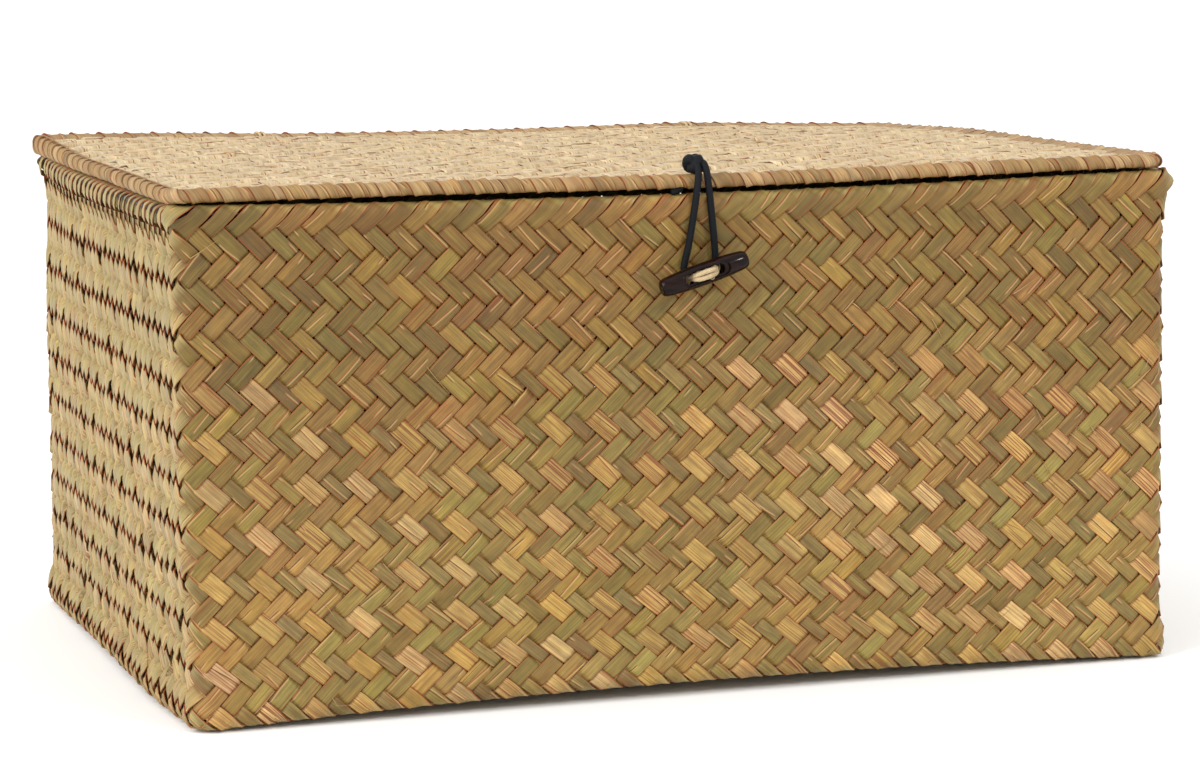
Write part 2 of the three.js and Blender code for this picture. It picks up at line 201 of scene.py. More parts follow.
class Bundle:
    """Collects strands into one mesh, with what its material reads: grain is (length, mm across, seed),
    and mark is (0 to 1 from the middle to the edge, strength of the streaks, strength of the edges)."""

    def __init__(self):
        self.verts, self.faces, self.grain, self.tint, self.mark = [], [], [], [], []
        self.count = 0

    def strand(self, centre, normal, width, thick, tint, streak, edge, seed, bared=0.0):
        """A flat strand along centre, whose face looks along normal. Arrays have one row per sample.
        Where bared is 1 only its edge on the + side of across shows, and at -1 only the other."""
        n = len(centre)
        along = unit(np.gradient(centre, axis=0))
        across = unit(np.cross(along, normal))
        face = np.cross(across, along)
        half = (np.broadcast_to(width, n) / 2)[:, None, None]
        deep = (np.broadcast_to(thick, n) / 2)[:, None, None]
        rows = (
            centre[:, None, :]
            + across[:, None, :] * SECTION[None, :, :1] * half
            + face[:, None, :] * SECTION[None, :, 1:] * deep
        )
        grain = np.empty((n, SIDES, 3))
        grain[..., 0] = running_length(centre)[:, None]
        grain[..., 1] = SECTION[None, :, 0] * half[..., 0]
        grain[..., 2] = seed
        mark = np.empty((n, SIDES, 3))
        mark[..., 0] = np.abs(SECTION[None, :, 0])
        mark[..., 1] = np.broadcast_to(streak, n)[:, None]
        shown = 0.6 + 0.4 * np.sign(SECTION[:, 0]) * np.broadcast_to(bared, n)[:, None]
        mark[..., 2] = np.broadcast_to(edge, n)[:, None] * shown / 0.6
        colour = np.ones((n, SIDES, 4))
        colour[..., :3] = np.broadcast_to(tint, (n, 3))[:, None, :]
        start = self.count
        ring = np.arange(SIDES)
        row = np.arange(n - 1)[:, None] * SIDES + start
        here = row + ring
        beside = row + (ring + 1) % SIDES
        walls = np.stack([here, here + SIDES, beside + SIDES, beside], -1).reshape(-1, 4)
        last = start + (n - 1) * SIDES
        self.verts.append(rows.reshape(-1, 3))
        self.faces += [walls, SECTION_QUADS + start, SECTION_QUADS[:, ::-1] + last]
        self.grain.append(grain.reshape(-1, 3))
        self.mark.append(mark.reshape(-1, 3))
        self.tint.append(colour.reshape(-1, 4))
        self.count += n * SIDES

    def build(self, name, material, bend=None):
        verts = np.concatenate(self.verts)
        if bend is not None:
            verts = bend(verts)
        attributes = {
            "grain": np.concatenate(self.grain),
            "mark": np.concatenate(self.mark),
            "tint": np.concatenate(self.tint),
        }
        return make_mesh(name, verts, np.concatenate(self.faces), attributes, material)


def tube(name, points, radius, sides, material, closed=False, relief=None, bend=None):
    """A round cord or wire along points, with its length and angle kept for the material."""
    points = np.asarray(points, float)
    if bend is not None:
        points = bend(points)
    n = len(points)
    if closed:
        tangent = unit(np.roll(points, -1, 0) - np.roll(points, 1, 0))
    else:
        tangent = unit(np.gradient(points, axis=0))
    frames = [np.cross(tangent[0], [0.31, 0.52, 0.79])]
    frames[0] /= np.linalg.norm(frames[0])
    for t in tangent[1:]:
        side = frames[-1] - t * (frames[-1] @ t)
        frames.append(side / np.linalg.norm(side))
    side = np.array(frames)
    if closed:
        first, final = side[0], side[-1] - tangent[0] * (side[-1] @ tangent[0])
        slip = math.atan2(np.cross(first, final) @ tangent[0], first @ final)
        other = np.cross(tangent, side)
        turn = -slip * np.arange(n) / n
        side = side * np.cos(turn)[:, None] + other * np.sin(turn)[:, None]
    other = np.cross(tangent, side)
    angle = np.arange(sides) / sides * 2 * math.pi
    length = running_length(points)
    reach = np.broadcast_to(radius, n)[:, None] * np.ones((n, sides))
    if relief is not None:
        reach = reach * (1 + relief(length[:, None], angle[None, :]))
    around = (
        side[:, None, :] * np.cos(angle)[None, :, None]
        + other[:, None, :] * np.sin(angle)[None, :, None]
    )
    verts = (points[:, None, :] + around * reach[..., None]).reshape(-1, 3)
    grain = np.empty((n, sides, 3))
    grain[..., 0] = length[:, None]
    grain[..., 1] = np.cos(angle)[None, :]
    grain[..., 2] = np.sin(angle)[None, :]
    ring = np.arange(sides)
    rows = n if closed else n - 1
    row = np.arange(rows)[:, None]
    next_row = (row + 1) % n
    here, beside = row * sides + ring, row * sides + (ring + 1) % sides
    above, above_beside = next_row * sides + ring, next_row * sides + (ring + 1) % sides
    faces = np.stack([here, beside, above_beside, above], -1).reshape(-1, 4)
    grain = grain.reshape(-1, 3)
    if not closed:
        verts, faces, grain = cap_ends(verts, faces, grain, points, tangent, reach, n, sides)
    return make_mesh(name, verts, faces, {"grain": grain}, material)


def cap_ends(verts, faces, grain, points, tangent, reach, n, sides):
    """Closes a tube with rounded ends: two shrinking rings and a fan of narrow quads each."""
    verts, faces, grain = [verts], [faces], [grain]
    total = n * sides
    for index, way in ((0, -1.0), (n - 1, 1.0)):
        base = verts[0][index * sides : (index + 1) * sides]
        centre = points[index]
        radius = reach[index].mean()
        previous = np.arange(sides) + index * sides
        for lift in (0.55, 0.9):
            shrink = math.sqrt(1 - lift * lift)
            ring = centre + (base - centre) * shrink + tangent[index] * way * lift * radius * 0.8
            verts.append(ring)
            grain.append(grain[0][index * sides : (index + 1) * sides])
            current = np.arange(sides) + total
            quads = np.stack([previous, np.roll(previous, -1), np.roll(current, -1), current], -1)
            faces.append(quads if way > 0 else quads[:, ::-1])
            previous = current
            total += sides
        half = sides // 2
        k = np.arange(half - 1)
        corners = (k, k + 1, sides - 2 - k, sides - 1 - k)
        caps = np.stack([previous[corner] for corner in corners], -1)
        faces.append(caps if way > 0 else caps[:, ::-1])
    return np.concatenate(verts), np.concatenate(faces), np.concatenate(grain)


# ---- Materials ----


class Nodes:
    """A short way to write a material's node tree."""

    def __init__(self, name):
        self.material = bpy.data.materials.new(name)
        self.material.use_nodes = True
        self.tree = self.material.node_tree
        self.surface = self.tree.nodes["Principled BSDF"]

    def add(self, kind, inputs=None, **settings):
        node = self.tree.nodes.new("ShaderNode" + kind)
        for key, value in settings.items():
            setattr(node, key, value)
        for key, value in (inputs or {}).items():
            if isinstance(value, bpy.types.NodeSocket):
                self.tree.links.new(value, node.inputs[key])
            else:
                node.inputs[key].default_value = value
        return node

    def attribute(self, name):
        return self.add("Attribute", attribute_name=name)

    def math(self, operation, a, b=0.0):
        return self.add("Math", {0: a, 1: b}, operation=operation).outputs[0]

    def times(self, a, b):
        return self.math("MULTIPLY", a, b)

    def noise(self, vector, scale, detail):
        """Noise whose vector is scaled by a number for each axis."""
        scaled = self.add("VectorMath", {0: vector, 1: scale}, operation="MULTIPLY").outputs[0]
        inputs = {"Vector": scaled, "Scale": 1.0, "Detail": detail}
        return self.add("TexNoise", inputs).outputs["Fac"]

    def ramp(self, value, low, high, to_low=0.0, to_high=1.0):
        inputs = {"Value": value, 1: low, 2: high, 3: to_low, 4: to_high}
        return self.add("MapRange", inputs).outputs[0]

    def mix(self, amount, a, b, blend="MIX"):
        node = self.add("Mix", data_type="RGBA", blend_type=blend)
        for index, value in ((0, amount), (6, a), (7, b)):
            if isinstance(value, bpy.types.NodeSocket):
                self.tree.links.new(value, node.inputs[index])
            else:
                node.inputs[index].default_value = value
        return node.outputs[2]

    def set(self, key, value):
        self.surface.inputs[key].default_value = value

    def link(self, socket, key):
        self.tree.links.new(socket, self.surface.inputs[key])

    def bump(self, height, distance, strength=1.0):
        inputs = {"Height": height, "Distance": distance, "Strength": strength}
        self.link(self.add("Bump", inputs).outputs[0], "Normal")

    def split(self, vector):
        return self.add("SeparateXYZ", {0: vector}).outputs


def colour4(r, g, b):
    return (*[float(c) for c in srgb(r, g, b)], 1.0)


def split_lines(m, grain):
    """Fine splits along some stretches of a strand, and a painted highlight on the lip beside each."""
    across = m.split(grain)[1]
    wander = m.noise(grain, (0.012, 0.0, 17.3), 0.0)
    beside = m.math("SUBTRACT", across, m.ramp(wander, 0.3, 0.7, -3.0, 3.0))
    torn = m.ramp(m.noise(grain, (0.06, 0.0, 21.1), 0.0), 0.53, 0.57)
    line = m.ramp(m.math("ABSOLUTE", beside), 0.26, 0.10, 0.0, 0.85)
    lip_highlight = m.times(m.ramp(beside, 0.15, 0.35, 0.0, 0.34), m.ramp(beside, 0.95, 0.6))
    return m.times(line, torn), m.times(lip_highlight, torn)


def rush_material(name, streak_colour, edge_colour, dark_colour, gloss):
    """A strand's own tint with fibres, ribs and blotches along it, rusty stains, streaks, browned edges
    that are darkened further as painted shade near the floats' ends, and splits with a painted highlight
    on each lip."""
    m = Nodes(name)
    grain = m.attribute("grain").outputs["Vector"]
    tint = m.attribute("tint").outputs["Color"]
    position, streak, edge = m.split(m.attribute("mark").outputs["Vector"])
    fibres = m.noise(grain, (0.05, 4.2, 7.1), 3.0)
    ribs = m.noise(grain, (0.012, 1.7, 3.3), 1.0)
    blotch = m.noise(grain, (0.13, 0.35, 5.7), 2.0)
    shade = m.ramp(fibres, 0.25, 0.75, 0.72, 1.24)
    shade = m.times(shade, m.ramp(ribs, 0.35, 0.65, 0.82, 1.14))
    shade = m.times(shade, m.ramp(blotch, 0.3, 0.7, 0.82, 1.14))
    grey = m.add("CombineXYZ", {0: shade, 1: shade, 2: shade}).outputs[0]
    colour = m.mix(1.0, tint, grey, "MULTIPLY")
    rust = m.noise(grain, (0.09, 0.5, 9.1), 2.0)
    stain = m.times(m.ramp(rust, 0.55, 0.78), 0.45)
    colour = m.mix(stain, colour, m.mix(1.0, colour, colour4(236, 176, 104), "MULTIPLY"))
    lines = m.noise(grain, (0.02, 1.9, 2.9), 2.0)
    lines = m.times(m.ramp(lines, 0.52, 0.56), streak)
    colour = m.mix(lines, colour, streak_colour)
    rim = m.ramp(position, 0.87, 0.95)
    patchy = m.ramp(m.noise(grain, (0.22, 0.4, 4.3), 1.0), 0.40, 0.58)
    rim = m.times(m.times(rim, patchy), edge)
    colour = m.mix(rim, colour, edge_colour)
    # flank colour: the strand's own browned edge, which near the floats' ends also stands in as painted
    # shade
    flank = m.mix(m.ramp(rust, 0.36, 0.50), dark_colour, edge_colour)
    line = m.times(m.ramp(position, 0.93, 0.97), m.ramp(edge, 0.12, 0.5, 0.0, 0.95))
    colour = m.mix(line, colour, flank)
    side = m.times(m.ramp(position, 0.986, 0.992), m.ramp(edge, 0.05, 0.3, 0.15, 1.0))
    colour = m.mix(side, colour, flank)
    split, lip_highlight = split_lines(m, grain)
    # painted highlight along the lip beside each split
    colour = m.mix(lip_highlight, colour, colour4(216, 180, 122))
    colour = m.mix(split, colour, flank)
    m.link(colour, "Base Color")
    m.link(m.ramp(fibres, 0.3, 0.7, gloss, gloss + 0.16), "Roughness")
    m.set("Specular IOR Level", 0.35)
    height = m.math("ADD", m.times(fibres, 0.6), ribs)
    height = m.math("SUBTRACT", height, split)
    m.bump(height, 0.00022, 0.8)
    return m.material


def twine_material():
    m = Nodes("twine")
    grain = m.attribute("grain").outputs["Vector"]
    fibres = m.noise(grain, (3.0, 5.0, 5.0), 3.0)
    colour = m.mix(m.ramp(fibres, 0.3, 0.7), colour4(138, 112, 76), colour4(220, 198, 156))
    m.link(colour, "Base Color")
    m.set("Roughness", 0.85)
    m.bump(fibres, 0.0002)
    return m.material


def wire_material():
    m = Nodes("wire")
    place = m.add("NewGeometry").outputs["Position"]
    spots = m.noise(place, (260, 260, 260), 3.0)
    colour = m.mix(m.ramp(spots, 0.35, 0.7), colour4(62, 58, 54), colour4(34, 31, 28))
    m.link(colour, "Base Color")
    m.set("Metallic", 0.9)
    m.link(m.ramp(spots, 0.3, 0.7, 0.32, 0.55), "Roughness")
    return m.material


def elastic_material():
    m = Nodes("elastic")
    grain = m.attribute("grain").outputs["Vector"]
    threads = m.noise(grain, (6.0, 9.0, 9.0), 2.0)
    colour = m.mix(m.ramp(threads, 0.3, 0.7), colour4(4, 5, 7), colour4(17, 19, 24))
    m.link(colour, "Base Color")
    m.set("Roughness", 0.6)
    m.set("Specular IOR Level", 0.16)
    m.bump(threads, 0.00012)
    return m.material


def toggle_material():
    m = Nodes("toggle_wood")
    figure = m.noise(m.add("TexCoord").outputs["Object"], (90, 700, 700), 4.0)
    colour = m.mix(m.ramp(figure, 0.35, 0.68), colour4(8, 4, 3), colour4(36, 14, 9))
    m.link(colour, "Base Color")
    m.link(m.ramp(figure, 0.3, 0.7, 0.12, 0.22), "Roughness")
    m.set("Specular IOR Level", 0.08)
    m.set("Coat Weight", 0.14)
    m.set("Coat Roughness", 0.05)
    m.bump(figure, 0.00005, 0.5)
    return m.material


def floor_material():
    m = Nodes("floor")
    place = m.add("TexCoord").outputs["Object"]
    tone = m.ramp(m.noise(place, (3, 3, 3), 2.0), 0.3, 0.7, 0.9, 0.92)
    m.link(m.add("CombineXYZ", {0: tone, 1: tone, 2: tone}).outputs[0], "Base Color")
    m.set("Roughness", 0.9)
    return m.material


RUSH = rush_material(
    "rush_wall", colour4(112, 56, 24), colour4(140, 72, 32), colour4(74, 38, 16), 0.46
)
RUSH_LID = rush_material(
    "rush_lid", colour4(140, 88, 46), colour4(124, 60, 24), colour4(66, 32, 15), 0.5
)
TWINE = twine_material()
STEEL = wire_material()
ELASTIC = elastic_material()
TOGGLE_WOOD = toggle_material()

# ---- Handmade irregularity ----


def bend_body(p):
    """How far the basket is out of true: its bowed foot, its sagging rim and its pulled corners."""
    x, y, z = p.T
    arch_x = np.clip(1 - (x / 186) ** 2, 0, 1)
    arch_y = np.clip(1 - (y / 134) ** 2, 0, 1)
    front = smooth_step(-y, 60, 138)
    rear = smooth_step(y, 60, 138)
    ends = smooth_step(np.abs(x), 120, 190)
    low = np.exp(-np.maximum(z, 0) / 30)
    foot = (4.2 * front + 1.8 * rear) * arch_x + 1.6 * ends * arch_y * (1 - front) * (1 - rear)
    q = p.copy()
    q[:, 2] += foot * low
    high = smooth_step(z, 110, 187)
    q[:, 2] -= 2.4 * front * arch_x * high
    rear_left = smooth_step(-x, 110, 190) * smooth_step(y, 50, 138)
    q[:, 2] += 1.8 * rear_left * high
    q[:, 0] += (0.8 + 1.4 * high) * rear_left * smooth_step(z, 20, 90)
    pulled = smooth_step(-x, 120, 190) * smooth_step(-y, 60, 138) * np.exp(-np.maximum(z, 0) / 60)
    q[:, 0] += 4.0 * pulled
    belly = np.sin(math.pi * np.clip(z / HEIGHT, 0, 1))
    q[:, 1] += np.sign(y) * np.clip(np.abs(y) / 138, 0, 1) ** 8 * arch_x * belly * 0.8
    return q


def bend_lid(p):
    """The lid sits a little to the left, waves slightly and droops at its right rear corner."""
    x, y, z = p.T
    q = p.copy()
    q[:, 0] -= 2.2
    q[:, 2] += 0.45 * np.sin(x / 41 + 1.1) * np.cos(y / 47 + 0.4)
    q[:, 2] -= 3.2 * smooth_step(x, 70, 190) * smooth_step(y, 20, 138)
    proud = smooth_step(-x, 60, 190) * smooth_step(y, 20, 138)
    q[:, 2] += proud * (0.9 + 0.45 * (z - LID_LOW))
    q[:, 2] -= 0.9 * smooth_step(-y, 70, 138) * np.clip(1 - (x / 190) ** 2, 0, 1)
    return q


# ---- Walls ----


def outline_table(half_x, half_y, corner):
    """Length, (x, y) and outward normal round a rounded rectangle, from the middle of its front."""
    points, normals = [(0.0, -half_y)], [(0.0, -1.0)]
    for sign_x, sign_y, start in ((1, -1, -90), (1, 1, 0), (-1, 1, 90), (-1, -1, 180)):
        centre = (sign_x * (half_x - corner), sign_y * (half_y - corner))
        degrees = range(start, start + 91, 3)
        points += arc(centre, corner, corner, degrees)
        normals += arc((0.0, 0.0), 1.0, 1.0, degrees)
    points, normals = np.array(points + points[:1]), np.array(normals + normals[:1])
    return running_length(points), points, normals


def on_outline(table, s):
    """Points at s round an outline, and the outward normals."""
    length, points, normals = table
    s = np.mod(s, length[-1])
    return look_up(s, length, points), unit(look_up(s, length, normals))


def drawn_in(table, corner, s, depth):
    """Points at s round an outline, drawn in by depth with its corners kept from turning inside out,
    and the outward normals."""
    at, out = on_outline(table, s)
    radius = np.maximum(corner - depth, TIGHTEST)
    slide = corner - depth - radius
    pull = np.sign(out) * smooth_step(np.abs(out), 0, 0.6)
    return at + out * (radius - corner)[:, None] + pull * slide[:, None], out


WALL_TABLE = outline_table(HALF_X - WAIST, HALF_Y - WAIST, CORNER - WAIST)
PERIMETER = WALL_TABLE[0][-1]
PITCH = PERIMETER / STRANDS


def profile_path():
    """(inset, z) of the middle of the wall's strands from under the foot, up the wall, over the rim and
    down its inside."""
    bend = FOOT - UNDER
    path = [(30.0, 2.3), (16.0, 1.9), (10.0, 1.5), (6.5, UNDER)]
    path += arc((FOOT, FOOT), bend, bend, range(270, 179, -10))
    path += [(1.6, 8.0), (2.6, 12.5), (3.4, 16.5), (WALL_MID, 21.0)]
    path += [(WALL_MID, 100.0), (WALL_MID, 168.0), (3.2, 173.0), (2.0, 178.0), (0.9, 181.5)]
    path += arc((ROLL_HALF, ROLL_Z), ROLL_HALF - 0.55, 2.85, range(175, -1, -12))
    path += [(7.3, 181.0), (6.3, 178.4), (5.95, 176.0), (5.9, 172.0), (5.9, 160.0)]
    path = subdivided(path, 2, 0.7)[:-1]
    kernel = np.array([1, 2, 3, 2, 1]) / 9
    padded = np.pad(path, ((2, 2), (0, 0)), "edge")
    path = np.stack([np.convolve(padded[:, c], kernel, "valid") for c in (0, 1)], -1)
    return running_length(path), path


PROFILE_LENGTH, PROFILE = profile_path()
PROFILE_AND_TANGENT = np.hstack([PROFILE, unit(np.gradient(PROFILE, axis=0))])


def length_at_height(z):
    """Length along the profile at a height on the outer face."""
    first = int(np.argmax(PROFILE[:, 1] > 3.0))
    last = int(np.argmax(PROFILE[:, 1]))
    return np.interp(z, PROFILE[first:last, 1], PROFILE_LENGTH[first:last])


def row_height(k):
    """Height at crossing number k: four crossings make a row, and the rows are taller near the rim."""
    row = (k - FALLING) / 4
    return 3.4 + 15.75 * row + 0.10 * row * row + 2.2 * smooth_step(k, 28, 44)


def length_at(k):
    """Length along the profile at crossing number k."""
    k = np.asarray(k, float)
    low, high = 3.0, K_FOLD
    middle = length_at_height(row_height(np.clip(k, low, high)))
    return middle + np.minimum(k - low, 0) * 3.9 + np.maximum(k - high, 0) * 4.15


def wall_points(s, k, lift):
    """Points at s round the wall and crossing number k, raised off the middle surface by lift, and the
    outward normals."""
    inset, z, run, rise = look_up(length_at(k), PROFILE_LENGTH, PROFILE_AND_TANGENT).T
    at, out = drawn_in(WALL_TABLE, CORNER - WAIST, s, inset - WAIST)
    size = np.hypot(run, rise)
    normal = np.column_stack([out * (rise / size)[:, None], run / size])
    return np.column_stack([at, z]) + normal * np.asarray(lift)[:, None], normal


def float_samples(low, high, middle, steps):
    """Crossing numbers from low to high, close together where a strand dives."""
    period = np.arange(math.floor((low - middle) / 4) - 1, math.ceil((high - middle) / 4) + 2)
    around = np.concatenate([[-s for s in steps[::-1]], steps])
    k = (period[:, None] * 4 + middle + around[None, :]).ravel()
    k = np.unique(np.round(k, 4))
    k = k[(k > low) & (k < high)]
    return np.concatenate([[low], k, [high]])


STEPS = [0.0, 0.6, 0.8, 0.89, 0.97, 1.06, 1.3, 2.0]
LIFT = 0.5
SIDE_RELIEF = 0.8  # the plait of the two ends is looser and stands out more
SIDE_EARLY = 0.85  # and its strands dive sooner
SIDE_WIDER = 0.15  # and they are a little wider
UNEVEN = (0.45, 1.5)  # and its floats are lifted unevenly, between these times
THICK, DRIFT, LIFT_SPREAD = 0.6, 0.28, 0.025


def weave_lift(k, middle, height=LIFT, early=0.0):
    """Over for one crossing either side of middle in every four, and under for the rest. Where early
    is 1 a strand dives sooner, which leaves its neighbours' edges standing."""
    dive = np.clip((reach_of(k, middle) - 0.78 + 0.14 * early) / (0.28 + 0.04 * early), 0, 1)
    return height * (1 - 2 * dive * dive * (3 - 2 * dive))


def looseness(s, k):
    """How much more the plait stands out on the ends than on the long faces and at the corners."""
    return (1 + SIDE_RELIEF * to_side(s) * smooth_step(k, 2.5, 5)) * (1 - 0.4 * at_corner(s))


def wobble(k, seed, size):
    """A slow drift along a strand."""
    draw = default_rng(seed)
    a, b, c = draw.uniform(0, 2 * math.pi, 3)
    return size * (np.sin(k * 0.21 + a) * 0.6 + np.sin(k * 0.57 + b) * 0.3 + np.sin(k * 1.3 + c) * 0.2)


def reach_of(k, middle):
    """Distance from the middle of the float, in crossings: floats end at 1."""
    return np.abs(np.mod(k - middle + 2, 4) - 2)


def bared_side(k, middle, way):
    """Which edge of a float has no float of its own family beside it: each edge, for half its length."""
    return way * np.clip(3 * (np.mod(k - middle + 2, 4) - 2), -1, 1)


def taper(k, middle, amount):
    """A strand is pinched a little where it goes under its neighbours."""
    return 1 - amount * smooth_step(reach_of(np.minimum(k, K_FOLDED), middle), 0.55, 0.95)


def to_side(s):
    """1 on the left and right ends of the basket, 0 on its front and rear."""
    _, out = on_outline(WALL_TABLE, s)
    return smooth_step(np.abs(out[:, 0]), 0.4, 0.9)


def at_corner(s):
    """1 in the middle of a corner's bend, 0 on the faces."""
    _, out = on_outline(WALL_TABLE, s)
    return (2 * out[:, 0] * out[:, 1]) ** 2


def edge_strength(strength, reach, end):
    """How dark a strand's edges are: all along it on the long faces, near a float's ends elsewhere. The
    brown is the strand's own; the extra darkness near a float's end is painted shade, where it dips under
    its neighbours.
    """
    along = 0.8 * (1 - end)
    near_end = smooth_step(reach, 0.35 * (1 - end), 0.8 - 0.4 * end)
    return strength * (along + (1 + 0.3 * end - along) * near_end)


def per_float(k, middle, values):
    """One of values for each float, changing where the strand is hidden."""
    index = np.floor((k - middle + 2) / 4).astype(int)
    return values[np.clip(index + 2, 0, len(values) - 1)]


OLIVES = [(140, 121, 62), (132, 114, 58), (150, 126, 66), (136, 121, 64)]
OLIVES += [(146, 119, 64), (130, 110, 56)]
STRAWS = [(174, 147, 90), (178, 145, 91), (172, 145, 84), (166, 139, 79), (186, 157, 108)]
GREYS = [(130, 113, 66), (136, 119, 70), (124, 107, 60)]
GOLDS = [(172, 139, 74), (166, 133, 70)]
# the paler, evener colour that the ends of the basket are painted toward, as a painted sheen
END_TONE = srgb(169, 152, 100)
TONE_SPREAD, HUE_SPREAD = 0.08, np.array([0.02, 0.02, 0.07])


def pick(draw, options, spread):
    """A colour near one of the options, which are sRGB out of 255."""
    base = srgb(*options[draw.integers(len(options))])
    return base * (1 + draw.normal(0, spread)) * (1 + draw.normal(0, spread * 0.2, 3))


def varied(draw, base):
    """The colour of one float of a strand."""
    return base * (1 + draw.normal(0, TONE_SPREAD)) * (1 + draw.normal(0, HUE_SPREAD))


def painted_face_shade(tint, centre, normal):
    """Painted light on the walls: the front is painted darker and warmer as shade, less so near its foot,
    where painted light from the floor is added, and more so towards its left end, as painted shade against
    the key lamp's stronger light there; the other sides are painted paler and evener, as a painted sheen."""
    front = smooth_step(-normal[:, 1], 0.35, 0.8)[:, None]
    foot = (1 - smooth_step(centre[:, 2], 45, 165))[:, None]
    # painted shade on the front, lightened near the foot as painted light from the floor
    darker = np.array([0.72, 0.62, 0.47]) * (1 - foot) + np.array([0.94, 0.88, 0.74]) * foot
    level = tint.mean(0) * 0.35 + END_TONE * 0.65
    paler = tint * 0.35 + level * 0.65
    # painted shade towards the front's left end, against the key lamp's stronger light there
    across = centre[:, :1] / HALF_X - 0.28
    darker = darker * (1 + (0.11 - 0.08 * foot) * across)
    return tint * darker * front + paler * (1 - front)


def fold_gap(s):
    """How much a strand narrows as it folds over the rim: open on the left side, tight on the front."""
    at, _ = on_outline(WALL_TABLE, np.array([s]))
    x, y = at[0]
    if x < -186:
        swell = 0.52 + 0.22 * math.exp(-(((y + 62) / 48) ** 2)) + 0.06 * math.sin(s / 9.0)
        return 0.05 + (swell - 0.05) * float(smooth_step(y, -136, -112))
    if y < -130:
        return -0.10 + 0.12 * float(smooth_step(-x, 150, 188))
    return 0.1


def stand_out(draw, k, middle, end, lift):
    """lift made uneven, float by float, on the ends of the basket."""
    uneven = per_float(k, middle, draw.uniform(*UNEVEN, FLOATS))
    return lift * np.where(lift > 0, 1 + (uneven - 1) * end, 1)


def wall_strand(draw, k, middle, way, end, centre, normal, width, floats, seed):
    """What Bundle.strand needs, from the colour and the streaks of each float."""
    tints, streaks = zip(*floats)
    # the float colours, with each face's painted shade and sheen
    tint = painted_face_shade(per_float(k, middle, np.array(tints)), centre, normal)
    streak = per_float(k, middle, np.array(streaks))
    edge = edge_strength(0.6 + 0.4 * draw.random(), reach_of(k, middle), end)
    return centre, normal, width, THICK, tint, streak, edge, seed, bared_side(k, middle, way)


def rising_strand(i):
    """Strand i of the family that rises to the right and folds over the rim."""
    draw = default_rng(1000 + i)
    k = float_samples(K_BOTTOM, K_END, RISING, STEPS)
    folded = smooth_step(k, *TURN)
    s = PITCH * (i + k / 2) - PHASE + wobble(k, 2000 + i, DRIFT)
    end = to_side(s)
    lift = weave_lift(np.minimum(k, K_FOLDED), RISING, LIFT, SIDE_EARLY * end)
    lift = lift * (1 - folded) * looseness(s, k) + 0.05 * folded
    lift = stand_out(draw, k, RISING, end, lift) + draw.normal(0, LIFT_SPREAD)
    centre, normal = wall_points(s, k, lift)
    gap = fold_gap(np.interp(43.5, k, s))
    width = 6.05 + draw.normal(0, 0.14) + wobble(k, 3000 + i, 0.22)
    width = (width + SIDE_WIDER * end) * taper(k, RISING, 0.025 + 0.06 * end)
    if gap > 0.15:
        narrow = smooth_step(k, *OPEN_NECK) * (1 - 0.35 * smooth_step(k, *OPEN_END))
    else:
        narrow = smooth_step(k, *SHUT_NECK) * (1 - 0.75 * smooth_step(k, *SHUT_END))
    width = width * (1 - gap * draw.uniform(0.75, 1.15) * narrow)
    width = width * (1 + 0.4 * at_corner(s) * smooth_step(k, 40, 43))
    width = width * (1 - 0.55 * smooth_step(k, K_END - 0.7, K_END))
    strand_base = pick(draw, OLIVES, 0.10)
    floats = []
    for row in range(FLOATS):
        tint = varied(draw, strand_base)
        streak = 0.10 if draw.random() < 0.8 else 0.5
        if draw.random() < 0.02 and row < 8:
            tint = pick(draw, GOLDS, 0.05)
        floats.append((tint, streak))
    return wall_strand(draw, k, RISING, -1, end, centre, normal, width, floats, i * 1.37)


def falling_strand(j):
    """Strand j of the family that falls to the right, where every other one is wide and straw."""
    draw = default_rng(5000 + j)
    on_left = fold_gap(PITCH * (j - K_HIDDEN / 2) - PHASE) > 0.2
    k = float_samples(K_BOTTOM, K_OPEN if on_left else K_HIDDEN, FALLING, STEPS)
    s = PITCH * (j - k / 2) - PHASE + wobble(k, 6000 + j, DRIFT)
    end = to_side(s)
    lift = weave_lift(k, FALLING, LIFT, SIDE_EARLY * end)
    lift = np.where(k > 43.5, -LIFT, lift)
    lift = stand_out(draw, k, FALLING, end, lift) * looseness(s, k) + draw.normal(0, LIFT_SPREAD)
    centre, normal = wall_points(s, k, lift)
    straw = j % 2 == 0
    switch = STRAW_TOP if draw.random() < 0.6 else STRAW_TOP - 4
    lower = 1 - smooth_step(k, switch - 0.4, switch + 0.4)
    wide, plain = (7.2 if straw else 4.85), 6.0
    width = plain + (wide - plain) * lower + draw.normal(0, 0.14) + wobble(k, 7000 + j, 0.22)
    width = (width + SIDE_WIDER * end) * taper(k, FALLING, 0.025 + 0.06 * end)
    upper_base = pick(draw, OLIVES, 0.09)
    gold = draw.random() < 0.025
    lower_base = pick(draw, (GOLDS if gold else STRAWS) if straw else GREYS, 0.07)
    streaked = 0.0 if gold else 0.5 + 0.5 * draw.random()
    floats = []
    for row in range(FLOATS):
        below = (FALLING + 4 * (row - 2)) < switch
        tint = varied(draw, lower_base if below else upper_base)
        streak = 0.12 if draw.random() < 0.8 else 0.5
        if straw and below:
            streak = streaked * draw.uniform(0.5, 1.0)
        floats.append((tint, streak))
    return wall_strand(draw, k, FALLING, 1, end, centre, normal, width, floats, 400 + j * 1.91)


def side_of(x, y, half_x, half_y):
    if abs(x) / half_x > abs(y) / half_y:
        return "right" if x > 0 else "left"
    return "rear" if y > 0 else "front"


def build_sides(bundles, name, material, bend):
    return [each.build(f"{name}_{side}", material, bend) for side, each in sorted(bundles.items())]


